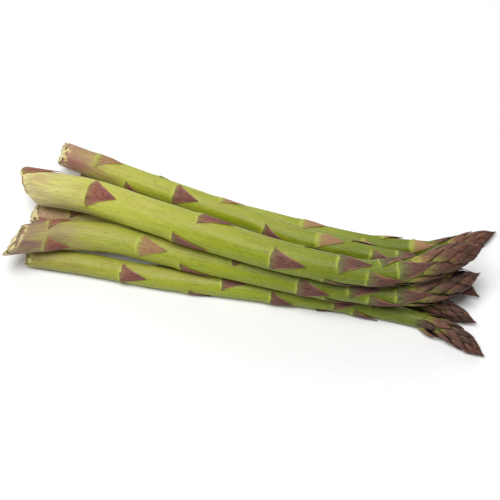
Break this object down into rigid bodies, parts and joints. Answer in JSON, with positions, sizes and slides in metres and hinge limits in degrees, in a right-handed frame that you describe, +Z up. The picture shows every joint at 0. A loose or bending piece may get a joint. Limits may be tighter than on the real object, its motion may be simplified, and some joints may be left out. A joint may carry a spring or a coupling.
{
  "type": "bundle of asparagus",
  "caption": "Loose bunch of fresh green asparagus spears lying down, with purple scaly heads at one end and cut ends at the other.",
  "frame": {"origin": "under the middle of the bunch's outer box, on the surface it lies on", "axes": "+X from the cut ends to the heads, +Y to the back of the bunch, +Z up"},
  "size_m": [0.2352, 0.1146, 0.04],
  "materials": {
    "green_stem": "yellow-green vegetable skin with a faint waxy bloom",
    "purple_leaf": "dull purple-brown leaf scales, papery at the edges"
  },
  "bodies": {
    "root": {"spear_1_stem": "green_stem", "spear_1_head": "purple_leaf", "spear_2_stem": "green_stem", "spear_2_head": "purple_leaf", "spear_3_stem": "green_stem", "spear_3_head": "purple_leaf", "spear_4_stem": "green_stem", "spear_4_head": "purple_leaf", "spear_5_stem": "green_stem", "spear_5_head": "purple_leaf", "spear_6_stem": "green_stem", "spear_6_head": "purple_leaf"}
  },
  "joints": []
}
